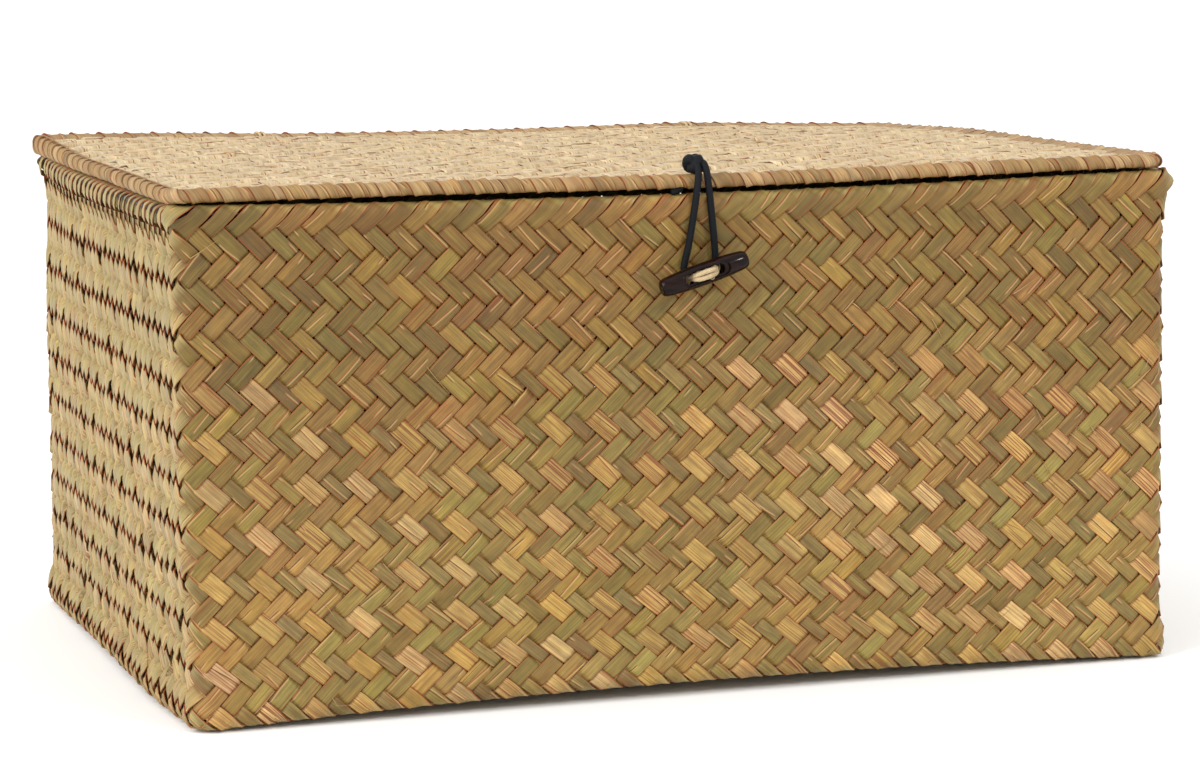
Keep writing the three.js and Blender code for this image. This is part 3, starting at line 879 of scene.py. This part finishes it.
def make_walls():
    """Both families, each in one mesh for every side of the basket."""
    made = []
    for family, strand in (("rising", rising_strand), ("falling", falling_strand)):
        bundles = {}
        for index in range(STRANDS):
            shape = strand(index)
            x, y, _ = shape[0][len(shape[0]) // 2]
            side = side_of(x, y, HALF_X - WAIST, HALF_Y - WAIST)
            bundles.setdefault(side, Bundle()).strand(*shape)
        made += build_sides(bundles, f"strands_{family}", RUSH, bend_body)
    return made


# ---- Floor of the basket ----

FLOOR_PITCH = 6.24
FLOOR_Z = 1.75
FLOOR_STEPS = [0.0, 0.72, 0.98, 1.25, 2.0]


def clip_to_plan(start, way, half_x, half_y):
    """Lengths along a line at which it enters and leaves a rectangle, or None."""
    low, high = -1e9, 1e9
    for axis, half in ((0, half_x), (1, half_y)):
        if abs(way[axis]) < 1e-9:
            if abs(start[axis]) > half:
                return None
            continue
        a, b = sorted(((-half - start[axis]) / way[axis], (half - start[axis]) / way[axis]))
        low, high = max(low, a), min(high, b)
    return (low, high) if high - low > 6 else None


def make_floor_weave():
    """Strands at 45 degrees in a flat twill, between the feet of the walls."""
    half_x, half_y = HALF_X - 5.4, HALF_Y - 5.4
    diagonal = math.sqrt(0.5)
    reach = int((half_x + half_y) * diagonal / FLOOR_PITCH) + 1
    made = []
    for family in (0, 1):
        way = np.array([diagonal, diagonal if family == 0 else -diagonal])
        step = np.array([diagonal, -diagonal if family == 0 else diagonal])
        bundle = Bundle()
        for i in range(-reach, reach + 1):
            start = step * i * FLOOR_PITCH
            span = clip_to_plan(start, way, half_x, half_y)
            if span is None:
                continue
            draw = default_rng(9000 + family * 400 + i)
            shift = (RISING if family == 0 else FALLING) + i
            t = float_samples(span[0] / FLOOR_PITCH, span[1] / FLOOR_PITCH, shift, FLOOR_STEPS)
            lift = weave_lift(t, shift, 0.42)
            flat = start + way * (t * FLOOR_PITCH)[:, None]
            inside = np.minimum(half_x - np.abs(flat[:, 0]), half_y - np.abs(flat[:, 1]))
            z = FLOOR_Z + 0.2 * (1 - smooth_step(inside, 0, 12)) + lift
            centre = np.column_stack([flat, z])
            tint = pick(draw, OLIVES + GREYS, 0.08)
            bundle.strand(centre, LEVEL, 5.9, 0.66, tint, 0.15, 0.4, i * 2.3 + family * 50)
        made.append(bundle.build(f"floor_strands_{family + 1}", RUSH, bend_body))
    return made


# ---- Lid ----

LID_PITCH = 5.68
LID_MID = LID_LOW + 3.4
LID_LIFT = 0.72
LID_TABLE = outline_table(LID_HALF_X, LID_HALF_Y, LID_CORNER)
CREAMS = [(189, 168, 130), (185, 163, 124), (192, 171, 134), (182, 159, 120), (187, 165, 128)]
HEMS = [(149, 121, 75), (139, 111, 68), (156, 127, 83), (143, 114, 70), (163, 135, 93)]


def inside_lid(x, y):
    """Distance in from the lid's rounded outline."""
    dx = np.abs(x) - (LID_HALF_X - LID_CORNER)
    dy = np.abs(y) - (LID_HALF_Y - LID_CORNER)
    outside = np.hypot(np.maximum(dx, 0), np.maximum(dy, 0)) + np.minimum(np.maximum(dx, dy), 0)
    return LID_CORNER - outside


def lid_weave():
    """The flat of the lid: strands along X and along Y in a 2/2 twill."""
    made = []
    for axis, name in ((0, "long"), (1, "cross")):
        bundle = Bundle()
        half_across = LID_HALF_Y if axis == 0 else LID_HALF_X
        half_along = LID_HALF_X if axis == 0 else LID_HALF_Y
        reach = int(half_across / LID_PITCH)
        for i in range(-reach, reach + 1):
            draw = default_rng(12000 + axis * 500 + i)
            shift = (RISING if axis == 0 else FALLING) + i
            limit = half_along / LID_PITCH
            t = float_samples(-limit, limit, shift, STEPS)
            lateral = i * LID_PITCH + wobble(t, 13000 + axis * 500 + i, 0.25)
            run = t * LID_PITCH
            x, y = (run, lateral) if axis == 0 else (lateral, run)
            keep = inside_lid(x, y) > (5.4 if axis == 0 else 5.8)
            if keep.sum() < 8:
                continue
            first, last = np.argmax(keep), len(keep) - np.argmax(keep[::-1])
            t, x, y = t[first:last], x[first:last], y[first:last]
            rim = 1 - smooth_step(inside_lid(x, y), 7.5, 10.5)
            index = np.clip(np.floor((t - shift + 2) / 4).astype(int) + 40, 0, 79)
            bulge = draw.uniform(0.75, 1.45, 80)[index]
            lift = weave_lift(t, shift, LID_LIFT, 0.75)
            lift = np.where(lift > 0, lift * bulge, lift) * (1 - rim) - LID_LIFT * rim
            lift += draw.normal(0, 0.03)
            centre = np.column_stack([x, y, LID_MID + lift])
            wide = 5.75
            if axis == 1:
                wide = 6.5 if i % 2 == 0 else 4.9
            wide = wide + draw.normal(0, 0.15) + wobble(t, 14000 + axis * 500 + i, 0.2)
            base = pick(draw, CREAMS, 0.035)
            floats = [base * (1 + draw.normal(0, 0.03)) for _ in range(80)]
            streak = 0.25 if draw.random() < 0.3 else 0.08
            seed = 900 + axis * 300 + i * 2.9
            shown = 0.0 if axis == 0 else 0.3
            # edges browned near each float's end: the strand's own brown, darkened there as painted shade
            # where it dips under
            edge = (0.7 + 0.5 * draw.random()) * (
                shown + (1 - shown) * smooth_step(reach_of(t, shift), 0.5, 0.85)
            )
            bared = bared_side(t, shift, 1 if axis == 0 else -1)
            tint = np.array(floats)[index]
            bundle.strand(centre, LEVEL, wide, 0.68, tint, streak, edge, seed, bared)
        made.append(bundle.build(f"lid_strands_{name}", RUSH_LID, bend_lid))
    return made


def hem_places():
    """Where the strands that wrap the lid's wire cross its outline: in line with the weave on the sides,
    and fanned evenly round the corners."""
    places = []
    straight_x, straight_y = LID_HALF_X - LID_CORNER, LID_HALF_Y - LID_CORNER
    quarter = LID_CORNER * math.pi / 2
    start = 0.0
    sides = [straight_x, 2 * straight_y, 2 * straight_x, 2 * straight_y, straight_x]
    for number, length in enumerate(sides):
        first, last = number == 0, number == 4
        centre = 0.0 if first else length if last else length / 2
        count = int(length / LID_PITCH) + 2
        along = centre + np.arange(-count, count + 1) * LID_PITCH
        lowest = -0.01 if first else -0.3 * LID_PITCH
        highest = length - 0.01 if last else length + 0.3 * LID_PITCH
        places += [start + a for a in along if lowest < a < highest]
        if not last:
            places += [start + length + quarter * f for f in (0.3, 0.7)]
        start += length + quarter
    return sorted(places)


def hem_path():
    """(inset, z) from the lid's top, round its edge wire and under, to the end of the tucked flap."""
    ring = LID_EDGE - 0.72
    wire_z = LID_LOW + LID_EDGE
    path = [(11.5, LID_MID - 0.5), (9.6, LID_MID - 0.35), (8.2, LID_MID + 0.5), (6.8, LID_MID + 0.75)]
    path += [(5.2, wire_z + ring - 0.35), (4.2, wire_z + ring - 0.05)]
    path += arc((LID_EDGE, wire_z), ring, ring, range(80, 281, 12))
    path += [(5.0, LID_LOW + 0.75), (7.5, LID_LOW + 1.35), (11.0, LID_LOW + 1.6), (16.0, LID_LOW + 1.7)]
    return subdivided(path, 1, 0.9)


def lid_hem():
    """The strands that wrap the lid's wire, leaning as they go round it."""
    path = hem_path()
    tangent = unit(np.gradient(path, axis=0))
    length = running_length(path)
    bundles = {}
    for number, place in enumerate(hem_places()):
        draw = default_rng(15000 + number)
        lean = 6.4 * smooth_step(length, 5.0, 18.0) + 2.0 * smooth_step(length, 20.0, 32.0)
        s = place + lean - 1.2 + wobble(length, 16000 + number, 0.18)
        at, out = drawn_in(LID_TABLE, LID_CORNER, s, path[:, 0])
        origin, _ = on_outline(LID_TABLE, np.array([place]))
        base = np.column_stack([at, path[:, 1]])
        normal = np.column_stack([-out * tangent[:, 1:2], -tangent[:, 0]])
        lift = draw.normal(0, 0.05) + (0.06 if number % 2 == 0 else -0.04)
        lift = lift * smooth_step(length, 3.0, 6.0)
        wide = 6.5 if number % 2 == 0 else 4.95
        wide = wide + draw.normal(0, 0.2) + wobble(length, 17000 + number, 0.15)
        wide = wide * (1 - 0.4 * smooth_step(length, length[-1] - 3, length[-1]))
        tint = pick(draw, HEMS, 0.06)
        stained = 0.25 + 0.5 * draw.random()
        side = side_of(*origin[0], LID_HALF_X, LID_HALF_Y)
        bundle = bundles.setdefault(side, Bundle())
        seed = 2000 + number * 3.1
        edge = 0.12 if side == "left" else 0.9
        bundle.strand(base + normal * lift[:, None], normal, wide, 0.7, tint, stained * 0.7, edge, seed)
    return build_sides(bundles, "lid_hem", RUSH_LID, bend_lid)


# ---- Wire frame ----


def hoop_points(half_x, half_y, corner, z):
    """A level hoop of wire, with more points round its corners."""
    table = outline_table(half_x, half_y, corner)
    spaced = np.concatenate([np.linspace(0, table[0][-1], 121), table[0][::3]])
    s = np.unique(np.round(spaced, 2))[:-1]
    at, _ = on_outline(table, s)
    return np.column_stack([at, np.full(len(s), z)])


def make_wires():
    """The hoops in the rim and the foot, and the posts in the corners."""
    made = []
    for name, inset, z in (("rim_wire", 3.4, ROLL_Z), ("base_wire", 6.5, 4.3)):
        points = hoop_points(HALF_X - inset, HALF_Y - inset, max(CORNER - inset, 2.4), z)
        wire = tube("frame_" + name, points, WIRE, 12, STEEL, closed=True, bend=bend_body)
        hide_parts(name)
        made.append(wire)
    for end, sign_y in (("front", -1), ("rear", 1)):
        for side, sign_x in (("left", -1), ("right", 1)):
            x, y = sign_x * (HALF_X - POST_INSET), sign_y * (HALF_Y - POST_INSET)
            points = [(x, y, z) for z in np.linspace(5.9 + WIRE * 0.7, ROLL_Z - WIRE * 0.7, 24)]
            post = tube(f"post_{end}_{side}", points, WIRE, 12, STEEL, bend=bend_body)
            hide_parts(f"corner_post_{end}_{side}")
            made.append(post)
    return made


def make_lid_wire():
    points = hoop_points(
        LID_HALF_X - LID_EDGE, LID_HALF_Y - LID_EDGE, LID_CORNER - LID_EDGE, LID_LOW + LID_EDGE
    )
    wire = tube("lid_edge_wire", points, LID_WIRE, 10, STEEL, closed=True, bend=bend_lid)
    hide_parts("lid_wire")
    return wire


# ---- Closure ----

TOGGLE_AT = np.array([1.0, -147.6, 156.4])
TOGGLE_TILT = math.radians(16.7)
TOGGLE_LENGTH = 34.0
TOGGLE_RADIUS = 4.1
TOGGLE_END = 2.9  # radius at its ends
SLOT_HALF = 2.5
HOLE_X, HOLE_RADIUS = 6.0, 1.9


def spline(points, steps):
    """A smooth curve through points."""
    points = np.asarray(points, float)
    p = np.vstack([points[:1], points, points[-1:]])
    t = (np.arange(steps) / steps)[:, None]
    curve = []
    for p0, p1, p2, p3 in zip(p, p[1:], p[2:], p[3:]):
        square = (2 * p0 - 5 * p1 + 4 * p2 - p3) * t * t
        cube = (3 * p1 - p0 - 3 * p2 + p3) * t**3
        curve.append(0.5 * (2 * p1 + (p2 - p0) * t + square + cube))
    return np.vstack(curve + [points[-1:]])


def evenly(points, spacing):
    """The same line with its points about one spacing apart."""
    length = running_length(points)
    count = max(4, int(length[-1] / spacing) + 1)
    return look_up(np.linspace(0, length[-1], count), length, points)


def trefoil(steps, wide, tall, deep):
    """The three coordinates of a tight knot's loop about its centre."""
    t = 2 * math.pi * np.arange(steps) / steps
    return (
        wide * (np.sin(t) + 2 * np.sin(2 * t)),
        tall * (np.cos(t) - 2 * np.cos(2 * t)),
        -deep * np.sin(3 * t),
    )


def to_toggle(points):
    """From the toggle's own frame, X along it and Y into the wall, to the row frame."""
    points = np.asarray(points, float)
    cos, sin = math.cos(TOGGLE_TILT), math.sin(TOGGLE_TILT)
    x, y, z = points.T
    return np.column_stack([x * cos - z * sin, y, x * sin + z * cos]) + TOGGLE_AT


def braid(length, angle):
    """Plaited cover of the elastic."""
    a = np.sin(angle * 6 + length * 3.1)
    b = np.sin(angle * 6 - length * 3.1)
    return 0.045 * np.maximum(a, b)


def twist(length, angle):
    """Two plies laid round each other."""
    return 0.16 * np.abs(np.cos(angle + length * 1.9)) + 0.03 * np.sin(angle * 5 + length * 7)


def toggle_barrel():
    """A turned barrel along X, closed by flat ends."""
    columns, rows = 48, 40
    end = TOGGLE_LENGTH / 2
    stations = []
    for row in range(rows + 1):
        t = 2 * row / rows - 1
        swell = (TOGGLE_RADIUS - TOGGLE_END) * math.sqrt(max(0.0, 1 - t * t))
        stations.append((t * (end - 0.5), TOGGLE_END + swell))
    cap = [(end - 0.24, TOGGLE_END - 0.14), (end - 0.06, TOGGLE_END - 0.34), (end, TOGGLE_END - 0.62)]
    cap += [(end + 0.02, 1.3), (end + 0.02, 0.5)]
    stations = [(-x, radius) for x, radius in cap[::-1]] + stations + cap
    turns = [2 * math.pi * column / columns for column in range(columns)]
    verts = [(x, radius * math.cos(a), radius * math.sin(a)) for x, radius in stations for a in turns]
    faces = []
    for start in range(0, (len(stations) - 1) * columns, columns):
        for column in range(columns):
            a, b = start + column, start + (column + 1) % columns
            faces.append((a, b, b + columns, a + columns))
    for base, way in ((0, 1), ((len(stations) - 1) * columns, -1)):
        for k in range(columns // 2 - 1):
            quad = (base + k, base + k + 1, base + columns - 2 - k, base + columns - 1 - k)
            faces.append(quad[::-1] if way > 0 else quad)
    return make_mesh("toggle_barrel", verts, faces, {}, TOGGLE_WOOD)


def cutter(name, outline, low, high):
    """A prism along Y for a boolean cut."""
    n = len(outline)
    ring = [(x, y, z) for y in (low, high) for x, z in outline]
    sides = [(k, (k + 1) % n, n + (k + 1) % n, n + k) for k in range(n)]
    mesh = bpy.data.meshes.new(name)
    mesh.from_pydata([Vector(p) * MM for p in ring], [], [*sides, range(n)[::-1], range(n, 2 * n)])
    shape = bmesh.new()
    shape.from_mesh(mesh)
    bmesh.ops.recalc_face_normals(shape, faces=shape.faces)
    shape.to_mesh(mesh)
    shape.free()
    return add_object(name, mesh)


def make_toggle():
    """The barrel with a long slot in its front and two holes through it."""
    barrel = toggle_barrel()
    slot = [point for x, start in ((6.9, -90), (-6.9, 90)) for point in arc(
        (x, 0.0), SLOT_HALF, SLOT_HALF, range(start, start + 181, 12)
    )]
    tools = [cutter("slot_cutter", slot, -8.0, -1.5)]
    for x in (-HOLE_X, HOLE_X):
        hole = arc((x, 0.0), HOLE_RADIUS, HOLE_RADIUS, range(0, 360, 15))
        tools.append(cutter("hole_cutter", hole, -9.0, 9.0))
    for tool in tools:
        modifier = barrel.modifiers.new(tool.name, "BOOLEAN")
        modifier.operation = "DIFFERENCE"
        modifier.solver = "EXACT"
        modifier.object = tool
    bevel = barrel.modifiers.new("edge", "BEVEL")
    bevel.width = 0.28 * MM
    bevel.segments = 2
    bevel.limit_method = "ANGLE"
    bevel.angle_limit = math.radians(40)
    bpy.context.view_layer.update()
    shaped = bpy.data.meshes.new_from_object(
        barrel.evaluated_get(bpy.context.evaluated_depsgraph_get())
    )
    barrel.modifiers.clear()
    barrel.data = shaped
    for tool in tools:
        bpy.data.objects.remove(tool)
    for polygon in shaped.polygons:
        polygon.use_smooth = True
    shaped.set_sharp_from_angle(angle=math.radians(38))
    co = np.array([v.co for v in shaped.vertices]) / MM
    shaped.vertices.foreach_set("co", (to_toggle(co) * MM).astype(np.float32).ravel())
    shaped.update()
    return barrel


def make_lashing():
    """Twine from the wall, round the back of the toggle, through its holes and across the slot."""
    made = []
    for number, shift in enumerate((-0.75, 0.75)):
        path = [(0.4, 11.5, 1.0), (0.2, 8.0, 0.9)]
        half = [(1.5, 5.9, 1.0), (4.6, 5.2, 1.0), (5.9, 3.6, 0.6), (4.9, 0.5, 0.6), (4.2, -1.6, 0.9)]
        half += [(2.7, -2.8, 1.2)]
        path += [(-x, y, z) for x, y, z in half] + [(0.0, -3.1, 1.3)] + half[::-1]
        path += [(-0.2, 8.0, 0.9), (-0.4, 11.5, 1.0)]
        points = evenly(spline([(x, y, z * shift) for x, y, z in path], 10), 0.35)
        made.append(tube(f"lashing_{number + 1}", to_toggle(points), 0.8, 14, TWINE, relief=twist))
    x = np.linspace(-4.4, 4.4, 50)
    thread = np.column_stack([x, -1.75 - 0.2 * np.cos(x), 1.55 + 0.12 * np.sin(2 * x)])
    made.append(tube("lashing_thread", to_toggle(thread), 0.3, 8, TWINE, relief=twist))
    draw = default_rng(31)
    t = np.linspace(0, 1, 18)
    bowed = np.sin(math.pi * t)
    for number in range(6):
        start, reach = draw.uniform(-4.2, 2.0), draw.uniform(2.2, 4.4)
        bow, low = draw.uniform(0.5, 1.5), draw.uniform(-1.6, 1.4)
        wisp = np.column_stack([start + reach * t, -3.3 - 0.7 * bowed, low - bow * bowed])
        made.append(tube(f"lashing_fibre_{number + 1}", to_toggle(wisp), 0.11, 6, TWINE))
    return made


def make_lashing_knot():
    """The knot that holds the lashing inside the front wall."""
    x, z, y = trefoil(140, 0.86, 0.80, 0.85)
    points = np.column_stack([x, y, z]) + (1.0, -132.4, 156.4)
    knot = tube("lashing_inner_knot", points, 0.85, 12, TWINE, closed=True, relief=twist)
    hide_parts("lashing_knot")
    return knot


ELASTIC_RADIUS = 1.25


def elastic_path():
    """Out of the knot, down behind the toggle, round its groove and back, as in the CAD model."""
    left = [(0.9, -136.6, 195.0), (1.3, -139.3, 195.1), (1.4, -141.0, 193.2), (1.2, -141.7, 190.4)]
    left += [(0.3, -142.2, 184.6), (-0.9, -141.2, 175.0), (-2.2, -140.1, 166.0)]
    bend = [(x, -139.7, z) for x, z in arc((2.2, 158.9), 6, 6, np.linspace(180, 360, 9))]
    right = [(7.8, -140.1, 166.0), (6.6, -141.2, 175.0), (5.3, -142.2, 184.6), (4.7, -141.9, 190.4)]
    right += [(4.3, -141.3, 193.6), (3.9, -139.4, 195.7), (2.8, -136.6, 195.6)]
    return evenly(spline(left + bend + right, 12), 0.4)


def make_elastic():
    points = elastic_path()
    loop = tube("elastic_cord", points, ELASTIC_RADIUS, 24, ELASTIC, relief=braid)
    return loop, points, float(running_length(points)[-1])


def make_elastic_knot():
    """A knot drawn tight over the lid's front edge, and the end that shows under it."""
    points = np.column_stack(trefoil(180, 0.82, 0.78, 1.5)) + (1.6, -136.2, 195.3)
    knot = tube("elastic_tight_knot", points, 1.95, 20, ELASTIC, closed=True, relief=braid)
    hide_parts("elastic_knot")
    stub = [(-3.4, -136.9, 187.0), (-4.9, -137.6, 186.1), (-6.3, -138.1, 185.6), (-7.4, -138.3, 185.5)]
    points = evenly(spline(stub, 8), 0.3)
    tail = tube("elastic_tail_end", points, 1.05, 16, ELASTIC, relief=braid)
    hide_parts("elastic_tail")
    return [knot, tail]


def make_hinge_tie(name, x):
    """Two turns of twine round the rim roll and the lid's rear edge."""
    low, high, inner, outer = 177.0, 192.6, 130.8, 141.6
    loop = [(-0.5, inner + 1.2, low + 0.2), (-0.4, outer - 1.6, low - 0.2), (-0.2, outer + 0.3, low + 2.6)]
    loop += [(0.0, outer + 0.5, 185.6), (0.2, outer + 0.2, high - 2.6), (0.4, outer - 1.8, high + 0.1)]
    loop += [(0.6, inner + 1.6, high), (0.8, inner, high - 2.4), (1.0, inner - 0.2, 186.0)]
    loop += [(1.2, inner, low + 2.4)]
    turns = [(x + shift + across, y, z) for shift in (-1.0, 1.0) for across, y, z in loop]
    points = evenly(spline(turns, 8), 0.4)
    high_up = smooth_step(points[:, 2:], 186.5, 190.0)
    points = points * (1 - high_up) + bend_lid(points) * high_up
    return tube(name, points, 0.55, 12, TWINE, relief=twist)


# ---- Loose fibres ----


def make_fibres():
    """Split fibres that stand a little off the walls and the lid."""
    walls, lid = Bundle(), Bundle()
    draw = default_rng(77)
    for number in range(90):
        s0, k0 = draw.uniform(0, PERIMETER), draw.uniform(3, 43)
        run = draw.uniform(-1, 1)
        steps = np.linspace(0, 1, 9)
        length = draw.uniform(7, 16)
        way = math.radians(draw.uniform(25, 65)) * (1 if draw.random() < 0.5 else -1)
        s = s0 + length * steps * math.cos(way) + 1.2 * run * steps**2
        k = k0 + length * steps * math.sin(way) / 4.1
        lift = 0.95 + draw.uniform(0.3, 1.3) * np.sin(math.pi * np.minimum(steps * 1.3, 1) * 0.8)
        centre, normal = wall_points(s, np.clip(k, 3, 43), lift)
        tint = pick(draw, STRAWS, 0.1) * 0.7
        width = 0.34 * (1 - 0.7 * steps)
        walls.strand(centre, normal, width, 0.14, tint, 0.2, 0.4, number)
    for number in range(36):
        x, y = draw.uniform(-165, 165), draw.uniform(-120, 120)
        way = draw.uniform(0, 2 * math.pi)
        steps = np.linspace(0, 1, 9)
        length = draw.uniform(6, 13)
        bow = draw.uniform(-2, 2)
        px = x + length * steps * math.cos(way) - bow * steps**2 * math.sin(way)
        py = y + length * steps * math.sin(way) + bow * steps**2 * math.cos(way)
        z = LID_MID + 0.95 + draw.uniform(0.2, 0.9) * np.sin(math.pi * steps * 0.8)
        centre = np.column_stack([px, py, z])
        tint = pick(draw, GOLDS if number % 6 == 0 else CREAMS, 0.08)
        width = (1.3 if number % 6 == 0 else 0.4) * (1 - 0.7 * steps)
        lid.strand(centre, LEVEL, width, 0.16, tint, 0.2, 0.4, 300 + number)
    on_wall = walls.build("loose_fibres_wall", RUSH, bend_body)
    return on_wall, lid.build("loose_fibres_lid", RUSH_LID, bend_lid)


# ---- Assembly ----


def settle(piece, slot, body, *nodes):
    """Attaches a piece to the body it rides on and hides the CAD nodes that it stands for; slot is not
    used.
    """
    if nodes:
        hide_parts(*nodes)
    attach(piece, body)


elastic, elastic_line, elastic_length = make_elastic()
settle(elastic, "elastic", "elastic", "elastic_loop")
for wall in make_walls() + make_floor_weave():
    settle(wall, "rush", "basket", "woven_body")
for part in lid_weave() + lid_hem():
    settle(part, "rush", "lid", "lid_panel")

wall_fibres, lid_fibres = make_fibres()
settle(wall_fibres, "rush", "basket")
settle(lid_fibres, "rush", "lid")

for wire in make_wires():
    settle(wire, "wire", "basket")
settle(make_lid_wire(), "wire", "lid")

settle(make_toggle(), "toggle_wood", "toggle", "toggle")
for strand in make_lashing():
    settle(strand, "twine", "toggle", "toggle_lashing")
settle(make_lashing_knot(), "twine", "basket")
for part in make_elastic_knot():
    settle(part, "elastic", "lid")

for side, x in (("left", -95.0), ("right", 95.0)):
    tie = make_hinge_tie(f"hinge_twine_{side}", x)
    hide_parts(f"hinge_tie_{side}")
    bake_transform(tie)

# ---- Floor and light ----

wide = 12000
corners = [(-wide, -wide, 0), (wide, -wide, 0), (wide, wide, 0), (-wide, wide, 0)]
ground = make_mesh("ground", corners, [(0, 1, 2, 3)], {}, floor_material(), smooth=False)

world = bpy.data.worlds.new("world")
bpy.context.scene.world = world
world.use_nodes = True
background = world.node_tree.nodes["Background"]
background.inputs["Color"].default_value = (1.0, 1.0, 1.0, 1.0)
background.inputs["Strength"].default_value = 1.18


def area_light(name, place, target, size, power):
    """A round soft light, placed in metres."""
    data = bpy.data.lights.new(name, "AREA")
    data.shape = "DISK"
    data.size = size
    data.energy = power
    light = add_object(name, data)
    light.location = place
    way = Vector(target) - Vector(place)
    light.rotation_mode = "QUATERNION"
    light.rotation_quaternion = way.to_track_quat("-Z", "Y")


area_light("key", (-4.8, -1.4, 3.1), (0, 0, 0.1), 4.4, 215)
area_light("glint", (1.0, -2.2, 1.7), (0, 0, 0.15), 0.34, 18)

bpy.context.scene.view_settings.view_transform = "Standard"
